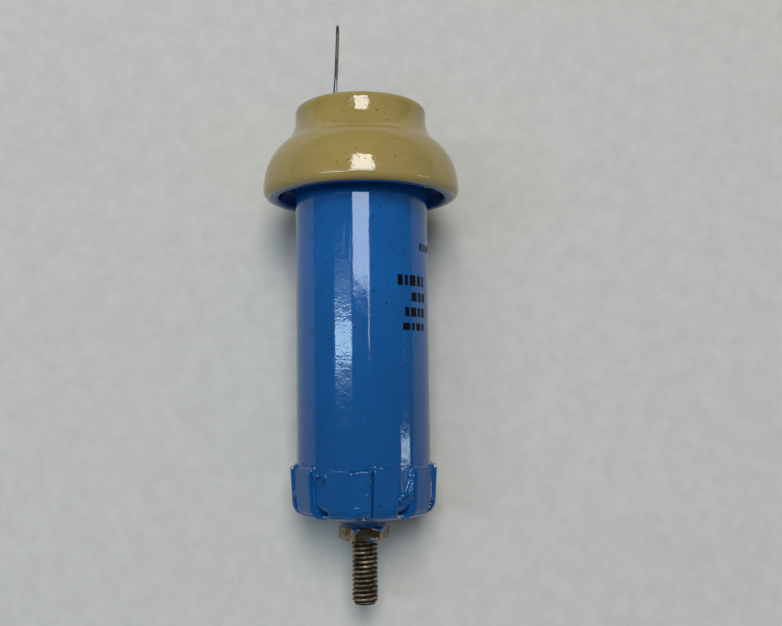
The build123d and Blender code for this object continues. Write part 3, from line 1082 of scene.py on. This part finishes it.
    def build(self) -> None:
        """Makes the fingers, the disc's coat with its slot edges, and the solder between them."""
        lacquer = BlueLacquer()
        pitch = 360.0 / self.fingers
        turns = [FRONT + self.turn + pitch * place for place in range(self.fingers)]
        skin = Skin.joined([self.finger_skin(turn, 50 + place) for place, turn in enumerate(turns)])
        make_piece("cap_fingers", skin, lacquer, "capacitor", ["base_lacquer"])
        slots = [self.slot_skin(turn + pitch / 2.0) for turn in turns]
        make_piece("cap_disc", Skin.joined([self.disc_skin()] + slots), lacquer, "capacitor")
        make_piece("solder_webs", self.web_skin(), lacquer, "capacitor", ["base_solder"])
        dress("base_spider", TinnedSheet())


# ---------------------------------------------------------------- stud, washer and nut


@dataclass
class Fastening:
    """The threaded stud with its washer and nut."""

    stud: float = 2.00  # radius over the thread
    pitch: float = 0.70
    root: float = 1.575
    end_chamfer: float = 0.45
    head: float = 3.40
    head_height: float = 0.95
    sheet: float = 0.50
    bore: float = 2.05
    across_flats: float = 7.00
    nut_turn: float = 9.3  # degrees from the front to the middle of a face
    chamfer: float = 30.0

    def thread(self, angle: Array, height: Array, crest: float, root: float) -> Array:
        """Radius of a right-hand thread: it depends on the share of a pitch at z / P - a / turn.

        A crest of a third of the pitch and a root of a tenth are joined by straight flanks,
        with rounded corners.
        """
        share = (height / self.pitch - angle / (2.0 * np.pi)) % 1.0
        away = np.abs(share - 0.5) * 2.0
        flank = (0.90 - away) / 0.56
        lift = soft_min(flank, np.ones_like(flank) * 0.97, 0.22)
        lift = -soft_min(-lift, np.zeros_like(lift), 0.08)
        return root + (crest - root) * np.clip(lift, 0.0, 1.0)

    def stud_skin(self) -> tuple[Skin, Array]:
        """The stud: thread from its end up through the nut, then its flat head inside the cap.

        Returns:
            The skin, and how near each point is to a crest.
        """
        end = float(low("mounting_stud")[2])
        rows = int(np.ceil((self.sheet - end) / self.pitch * 24))
        angle, z = circle(96)[None, :], np.linspace(end, self.sheet, rows)[:, None]
        place = around(self.stud * np.ones_like(z + angle), angle, z)
        radius = self.thread(angle, z, self.stud, self.root) - 0.012 * dents(place, 1.1, 61)
        point = self.stud - self.end_chamfer + 0.8 * (z - end)
        radius = soft_min(radius, point * np.ones_like(radius), 0.06)
        crest = np.clip((radius - self.root) / (self.stud - self.root), 0.0, 1.0)
        face = np.linspace(0.0, 1.0, 9)[:-1, None] * radius[:1]
        dip = 0.10 * hump(face, 0.0, 0.9)
        lattice = [around(face, angle, end + dip), around(radius, angle, z)]
        top = self.sheet + self.head_height
        head = [(self.head - 0.1, self.sheet), (self.head, self.sheet + 0.1), (self.head, top - 0.1),
                (self.head - 0.1, top), (0.0, top)]
        lattice.append(turned(np.array(head), 96))
        shine = [np.ones_like(face) * 0.8, crest, np.ones((len(head), 96))]
        return Skin.over(np.concatenate(lattice), closed_rows=False), np.concatenate(shine).ravel()

    def washer_skin(self) -> Skin:
        """The washer: a ring, slightly dished, with a rounded lower edge."""
        radius, bottom, top = (float(edge) for edge in
                               (high("lock_washer")[0], low("lock_washer")[2], high("lock_washer")[2]))
        inner = self.bore + 0.05
        ring = np.vstack([
            run((inner, top - 0.08), (inner, bottom + 0.08)),
            run((inner + 0.1, bottom), (2.9, bottom)),
            arc((radius - 0.26, bottom + 0.30), 0.26, 280, 80),
            arc((radius - 0.1, top - 0.1), 0.1, 0, 90),
            run((radius - 0.6, top - 0.03), (inner + 0.1, top - 0.03))])
        lattice = turned(spread(ring, 90, closed=True), 240)
        place = np.degrees(np.arctan2(lattice[..., 1], lattice[..., 0]))
        worn = 0.02 * dents(lattice, 1.7, 71) * step_up(-lattice[..., 2], 0.1, 0.5)
        lattice[..., 2] += worn * (1.0 + 0.2 * np.cos(np.radians(place)))
        return Skin.over(lattice)

    def nut_skin(self) -> tuple[Skin, Array]:
        """The nut: round its bore, over a face, down the hexagon's side and back under it.

        The side's radius is flats / cos(angle off the nearest face), cut by a cone at both
        ends, with the meeting edges softened.

        Returns:
            The skin, and how much lacquer each point has, with painted shade on the middle face.
        """
        bottom, top = float(low("clamp_nut")[2]), float(high("clamp_nut")[2])
        flat = self.across_flats / 2.0
        angle = circle(360)[None, :]
        off = (np.degrees(angle) - FRONT - self.nut_turn + 30.0) % 60.0 - 30.0
        hexagon = flat / np.cos(np.radians(off))
        z = np.linspace(bottom, top, 40)[:, None]
        to_end = np.minimum(z - bottom, top - z)
        cone = flat + 0.02 + to_end / np.tan(np.radians(self.chamfer))
        place = around(flat * np.ones_like(z + angle), angle, z)
        side = soft_min(hexagon + 0.0 * z, cone + 0.0 * angle, 0.12) - 0.05
        side -= 0.02 * dents(place, 1.5, 81)
        share = np.linspace(0.0, 1.0, 14)[1:-1, None]
        inner = self.bore + 0.28
        under = inner + (side[:1] - inner) * share[::-1]
        over = inner + (side[-1:] - inner) * share
        bore_z = np.linspace(top, bottom, 60)[:, None]
        mouth = np.clip(0.28 - np.minimum(bore_z - bottom, top - bore_z), 0.0, 0.28)
        bore = np.maximum(self.bore + 0.01, self.bore + mouth) + 0.0 * angle
        lattice = np.concatenate([
            around(side, angle, z), around(over[::-1], angle, top), around(bore, angle, bore_z),
            around(under[::-1], angle, bottom)])
        return Skin.over(lattice), self.nut_paint(lattice, bottom, top)

    def nut_paint(self, lattice: Array, bottom: float, top: float) -> Array:
        """Lacquer on the nut: 2 where it lies, 1 on clean faces and 0.2 on the middle face, which is painted
        shade.

        A triangle hangs over the corner left of the middle face, a run covers the upper half
        of the face to the right, and a strip lies along the middle face's lower edge. The faces
        behind have it along their tops.
        """
        angle = np.degrees(np.arctan2(lattice[..., 1], lattice[..., 0])) - FRONT - self.nut_turn
        angle = (angle + 180.0) % 360.0 - 180.0
        z = (lattice[..., 2] - bottom) / (top - bottom)
        triangle = step_up(z - 0.52 - np.abs(angle + 29.0) / 26.0, 0.0, 0.12)
        right = step_up(z - 0.45 - np.abs(angle - 52.0) / 90.0, 0.0, 0.15)
        strip = hump(z, 0.06, 0.13) * step_up(angle, -8.0, 6.0) * step_up(-angle, -28.0, -22.0)
        behind = step_up(z - 0.7 - 0.25 * np.cos(np.radians(3.0 * angle)), 0.0, 0.1)
        behind *= step_up(np.abs(angle), 80.0, 95.0)
        painted = np.maximum.reduce([triangle, right, strip, behind])
        # painted shade: the middle face, which faces the front, is drawn dark
        dark = 0.80 * step_up(angle, -31.0, -27.0) * step_up(-angle, -31.0, -27.0) * (1.0 - painted)
        return (1.0 + painted - dark).ravel()

    def build(self) -> None:
        """Makes the stud, the washer and the nut."""
        brass = TarnishedBrass()
        skin, crest = self.stud_skin()
        make_piece("threaded_stud", skin, brass, "capacitor", ["mounting_stud"],
                   50.0, crest)
        make_piece("washer", self.washer_skin(), WasherPaint(), "washer", ["lock_washer"])
        skin, paint = self.nut_skin()
        make_piece("hex_nut", skin, brass, "nut", ["clamp_nut"], 60.0, paint)


# ---------------------------------------------------------------- the terminal strap


@dataclass
class TerminalStrap:
    """The flat strap out of the bore, the solder on its foot and the lacquer that ran up it."""

    width: float = 4.00
    thickness: float = 0.30
    coat: float = 0.12
    tip_round: float = 1.80
    foot_length: float = 10.0
    rim_x: float = -4.10
    tip_x: float = -3.50
    wall: float = 6.35  # radius of the bore's electrode

    def __post_init__(self) -> None:
        """Reads the strap's heights and its foot off the frame."""
        self.bottom, self.top = float(low("terminal_strap")[2]), float(high("terminal_strap")[2])
        self.foot_x = float(low("terminal_strap")[0]) + self.thickness / 2.0
        self.rim_z = float(high("bore_lacquer")[2])

    def centre_line(self, first: float, last: float, count: int) -> Array:
        """The strap's middle between two heights: three straight runs, their corners rounded off.

        The corners are rounded by a moving average over the finely divided runs.
        """
        stations = np.array([(self.foot_x, self.bottom), (self.foot_x, self.bottom + self.foot_length),
                             (self.rim_x, self.rim_z), (self.tip_x, self.top)])
        z = np.linspace(self.bottom, self.top, 701)
        x = np.interp(z, stations[:, 1], stations[:, 0])
        window = 31
        padded = np.concatenate([np.full(window // 2, x[0]), x,
                                 x[-1] + (x[-1] - x[-2]) * np.arange(1, window // 2 + 1)])
        x = np.convolve(padded, np.ones(window) / window, "valid")
        wanted = np.linspace(first, last, count)
        return np.stack([np.interp(wanted, z, x), wanted], -1)

    def carried(self, line: Array, section: Array) -> Array:
        """A section carried along the line: across the strap runs Y, through it runs X."""
        x = line[:, :1] + section[None, :, 1]
        y = np.broadcast_to(section[None, :, 0], x.shape)
        return np.stack([x, y, np.broadcast_to(line[:, 1:], x.shape)], -1)

    def strip_skin(self) -> Skin:
        """The strap, with sheared edges a little rounded and a faint wave along it.

        Its half-width in the rounded tip is W/2 - R + sqrt(R^2 - t^2), t above the tip's start.
        """
        start = self.top - self.tip_round
        line = np.vstack([self.centre_line(self.bottom, start, 150),
                          self.centre_line(start, self.top, 40)[1:]])
        lattice = self.carried(line, bar_section(self.width, self.thickness, 0.06, 40))
        above = np.clip(line[:, 1] - start, 0.0, self.tip_round)
        half = self.width / 2.0 - self.tip_round + np.sqrt(self.tip_round**2 - above**2)
        lattice[..., 1] *= (half / (self.width / 2.0))[:, None]
        lattice[..., 0] += 0.012 * ripple(lattice * (0.0, 0.3, 1.0), 7.0, 91)
        return Skin.bar(lattice)

    def sleeve_skin(self) -> Skin:
        """Lacquer round the strap: it thins out upwards and ends in an uneven line."""
        first, last = float(low("strap_lacquer")[2]), float(high("strap_lacquer")[2])
        outer = bar_section(self.width + 2.0 * self.coat, self.thickness + 2.0 * self.coat, 0.14, 72)
        inner = bar_section(self.width, self.thickness, 0.05, 72)
        share = np.linspace(0.0, 1.0, 60)
        line = self.centre_line(first, last, 60)
        thin = (1.0 - 0.55 * share**3)[:, None, None]
        hull = inner[None] + (outer - inner)[None] * thin
        x = line[:, :1] + hull[..., 1]
        z = line[:, 1:] * np.ones_like(x)
        rim = np.stack([hull[-1, :, 1], hull[-1, :, 0], 0.0 * hull[-1, :, 0]], -1)
        edge = 0.5 + 0.25 * dents(rim, 2.5, 95)
        z -= share[:, None] ** 6 * edge[None]
        outside = np.stack([x, hull[..., 0], z], -1)
        back = line[::-6]
        inside = self.carried(back, inner)
        inside[0, :, 2] = z[-1]
        return Skin.over(np.concatenate([outside, inside]))

    def joint_skin(self) -> Skin:
        """Solder on the strap's foot: a mound on the bore wall that sinks to nothing at its edge.

        Its inside radius is the wall's less 0.62 * (1 - u^4) * (1 - v^4), where u runs across
        it and v up it.
        """
        first, last = float(low("strap_solder")[2]), float(high("strap_solder")[2])
        half = float(high("strap_solder")[1])
        u, v = np.linspace(-1.0, 1.0, 40)[None, :], np.linspace(-1.0, 1.0, 60)[:, None]
        angle = np.pi - u * np.arcsin(half / self.wall)
        z = (first + last) / 2.0 + v * (last - first) / 2.0
        mound = (1.0 - np.abs(u) ** 4) * (1.0 - np.abs(v) ** 4)
        place = around(self.wall + 0.0 * (angle + z), angle, z)
        depth = (0.62 + 0.06 * ripple(place, 1.6, 97)) * mound
        front = around(self.wall - depth, angle, z)
        behind = around(self.wall + 0.02 + 0.0 * depth, angle, z)
        return Skin.over(np.concatenate([front, behind[:, ::-1]], axis=1), closed_rows=False)

    def build(self) -> None:
        """Makes the strap, its solder and its lacquer."""
        thin_coat = BlueLacquer("blue_lacquer_thin", (0.006, 0.030, 0.080))
        make_piece("strap_strip", self.strip_skin(), StrapMetal(), "capacitor",
                   ["terminal_strap"])
        make_piece("strap_sleeve", self.sleeve_skin(), thin_coat, "capacitor",
                   ["strap_lacquer"])
        make_piece("strap_joint", self.joint_skin(), DullSolder(), "capacitor", ["strap_solder"])


# ---------------------------------------------------------------- printed marks


@dataclass(frozen=True)
class Row:
    """One row of ink bars."""

    height: float  # middle of the row
    start: float  # degrees from the front
    bars: tuple[float, ...]  # lengths, with a blank of a third of a bar's height between them
    rise: float = 1.6


@dataclass
class PrintedMarks:
    """Rows of plain ink bars on the tube, in place of printed type."""

    radius: float = 10.40
    ink: float = 0.03
    blank: float = 0.42
    rows: tuple[Row, ...] = (
        Row(41.7, 59.5, (0.7, 0.5, 0.9, 0.6), 1.1),
        Row(36.35, 32.3, (0.9, 0.6, 1.3, 0.9, 0.6)),
        Row(33.9, 47.2, (1.2, 0.7, 0.9), 1.4),
        Row(31.6, 39.6, (0.8, 1.2, 0.6, 0.9), 1.4),
        Row(29.4, 37.2, (1.4, 0.6, 1.1, 0.7), 1.1),
    )

    def bar_skin(self, start: float, length: float, height: float, rise: float, seed: int) -> Skin:
        """One bar, a thin curved shell with slightly uneven edges.

        Args:
            start: degrees from the front to its left end.
            length: its length round the tube.
            height: its middle.
            rise: its height from edge to edge.
            seed: which uneven edge it has.

        Returns:
            The bar's skin.
        """
        outline = bar_section(length, rise, 0.12, 64)
        outline *= 1.0 + 0.02 * ripple(np.pad(outline, ((0, 0), (0, 1))), 0.5, seed)[:, None]
        share = np.concatenate([np.linspace(0.0, 1.0, 8)[1:], np.linspace(1.0, 0.0, 8)[:-1]])[:, None]
        depth = np.concatenate([np.full(7, self.ink), np.full(7, -0.03)])[:, None]
        angle = np.radians(FRONT + start) + (outline[None, :, 0] * share + length / 2.0) / self.radius
        z = height + outline[None, :, 1] * share
        return Skin.bar(around(self.radius + depth + 0.0 * z, angle, z))

    def build(self) -> None:
        """Makes all rows as one piece."""
        skins = []
        for row in self.rows:
            start = row.start
            for length in row.bars:
                skins.append(self.bar_skin(start, length, row.height, row.rise, len(skins)))
                start += np.degrees((length + self.blank) / self.radius)
        make_piece("printed_marks", Skin.joined(skins), Ink(), "capacitor", ["rating_marks"])


# ---------------------------------------------------------------- board, lights and camera


@dataclass(frozen=True)
class Panel:
    """A soft light seen from the part between two azimuths and two elevations.

    Azimuth counts from the front, to the right.
    """

    name: str
    azimuth: tuple[float, float]
    elevation: tuple[float, float]
    radiance: float
    colour: Colour
    distance: float = 0.9  # metres

    def build(self, target: Vector) -> None:
        """Makes the light, facing the target."""
        azimuth, elevation = (np.radians(sum(pair) / 2.0) for pair in (self.azimuth, self.elevation))
        level = np.cos(elevation)
        away = Vector((np.sin(azimuth) * level, -np.cos(azimuth) * level, np.sin(elevation)))
        width, height = (2.0 * self.distance * np.tan(np.radians(abs(pair[1] - pair[0]) / 2.0))
                         for pair in (self.azimuth, self.elevation))
        light = bpy.data.lights.new(self.name, "AREA")
        light.shape, light.size, light.size_y = "RECTANGLE", width * level, height
        light.color, light.energy = self.colour, self.radiance * np.pi * light.size * light.size_y
        lamp = bpy.data.objects.new(self.name, light)
        facing = away.to_track_quat("Z", "Y").to_matrix().to_4x4()
        lamp.matrix_world = Matrix.Translation(target + away * self.distance) @ facing
        lamp.visible_camera = False
        bpy.context.collection.objects.link(lamp)


@dataclass
class Studio:
    """The pale board behind the part, the soft lights and the camera."""

    board_half: float = 1.5  # metres from its middle to its edge
    collar: float = 15.5  # radius that rests on the board
    base: float = 11.2
    base_z: float = 8.3
    yaw: float = -4.0  # degrees that the board's right side comes forward
    board: Colour = (0.607, 0.588, 0.546)
    room: float = 0.125  # radiance of the room round the lights
    eye: Colour = (4.50, -146.10, 20.28)  # millimetres
    forward: Colour = (0.0, 0.9968, 0.0803)
    up: Colour = (0.0122, -0.0802, 0.9967)
    lens: float = 42.84
    panels: tuple[Panel, ...] = (
        Panel("lamp", (-8.5, 15.5), (15.2, 37.5), 10.8, (1.0, 0.975, 0.92)),
        Panel("window", (-13.3, 14.2), (6.6, 14.7), 9.4, (0.70, 0.84, 1.0)),
        Panel("side_window", (-45.5, -16.5), (1.3, 4.5), 12.0, (0.56, 0.82, 1.0)),
        Panel("side_glow", (-45.5, -16.5), (-0.5, 8.5), 1.2, (0.7, 0.88, 1.0), 0.95),
        Panel("slit", (11.5, 13.5), (2.2, 6.6), 6.0, (0.8, 0.92, 1.0)),
        Panel("far_window", (67.0, 86.0), (-6.0, -4.0), 8.0, (0.7, 0.86, 1.0)),
    )

    def build_board(self) -> None:
        """Makes the board, a large sheet that is clear from behind, through the two places that touch it."""
        widest = float(high("ceramic_pot")[2]) - CeramicPot.collar_drop
        slope = (self.collar - self.base) / (widest - self.base_z)
        turn = Matrix.Rotation(-np.radians(self.yaw), 3, "Z")
        along, rise = turn @ Vector((1.0, 0.0, 0.0)), (turn @ Vector((0.0, slope, 1.0))).normalized()
        touch = turn @ Vector((0.0, self.base - slope * self.base_z, 0.0)) * MM
        half = self.board_half
        corners = [touch + along * x + rise * z
                   for x, z in ((-half, -half), (half, -half), (half, half), (-half, half))]
        mesh = bpy.data.meshes.new("board")
        mesh.from_pydata([tuple(corner) for corner in corners], [], [(0, 1, 2, 3)])
        bench = Bench("board_plain")
        mottle = bench.fade(bench.noise(3.0, 5.0, 0.7), 0.3, 0.7)
        colour = bench.mix(mottle, shade(self.board, 0.95), shade(self.board, 1.04))
        normal = bench.bump(bench.noise(1.0, 3.0), 0.01)
        material = bench.done(colour, 0.8, normal)
        clear = bench.nodes.new("ShaderNodeBsdfTransparent")
        side = bench.nodes.new("ShaderNodeNewGeometry")
        choice = bench.nodes.new("ShaderNodeMixShader")
        bench.link(side.outputs["Backfacing"], choice.inputs[0])
        bench.link(bench.shader.outputs[0], choice.inputs[1])
        bench.link(clear.outputs[0], choice.inputs[2])
        bench.link(choice.outputs[0], bench.nodes["Material Output"].inputs["Surface"])
        mesh.materials.append(material)
        board = bpy.data.objects.new("board", mesh)
        bpy.context.collection.objects.link(board)

    def build_room(self) -> None:
        """Makes the room: dim for what it lights, pale where the camera looks past the board."""
        world = bpy.data.worlds.new("room")
        world.use_nodes = True
        nodes, links = world.node_tree.nodes, world.node_tree.links
        dim, pale = nodes["Background"], nodes.new("ShaderNodeBackground")
        dim.inputs["Color"].default_value = (0.92, 0.97, 1.0, 1.0)
        dim.inputs["Strength"].default_value = self.room
        pale.inputs["Color"].default_value = (0.42, 0.42, 0.41, 1.0)
        path, choice = nodes.new("ShaderNodeLightPath"), nodes.new("ShaderNodeMixShader")
        links.new(path.outputs["Is Camera Ray"], choice.inputs[0])
        links.new(dim.outputs[0], choice.inputs[1])
        links.new(pale.outputs[0], choice.inputs[2])
        links.new(choice.outputs[0], nodes["World Output"].inputs["Surface"])
        bpy.context.scene.world = world
        bpy.context.scene.view_settings.view_transform = "Standard"

    def build_camera(self) -> None:
        """Makes the camera."""
        data = bpy.data.cameras.new("camera")
        data.lens, data.sensor_width, data.clip_start = self.lens, 36.0, 0.005
        camera = bpy.data.objects.new("camera", data)
        back, up = -Vector(self.forward).normalized(), Vector(self.up)
        right = up.cross(back).normalized()
        up = back.cross(right)
        turn = Matrix((right, up, back)).transposed().to_4x4()
        camera.matrix_world = Matrix.Translation(Vector(self.eye) * MM) @ turn
        bpy.context.collection.objects.link(camera)
        bpy.context.scene.camera = camera

    def build(self) -> None:
        """Makes everything round the part."""
        self.build_board()
        self.build_room()
        for panel in self.panels:
            panel.build(Vector((0.0, 0.0, 30.0 * MM)))
        self.build_camera()
        LOG.info("studio: board, %d lights and camera", len(self.panels))


def main() -> None:
    """Builds the part's looks and the studio."""
    logging.basicConfig(level=logging.INFO, format="%(message)s")
    Studio().build()
    pot = CeramicPot()
    pot.build()
    BaseCap(pot).build()
    Fastening().build()
    TerminalStrap().build()
    PrintedMarks().build()


if __name__ == "__main__":
    main()
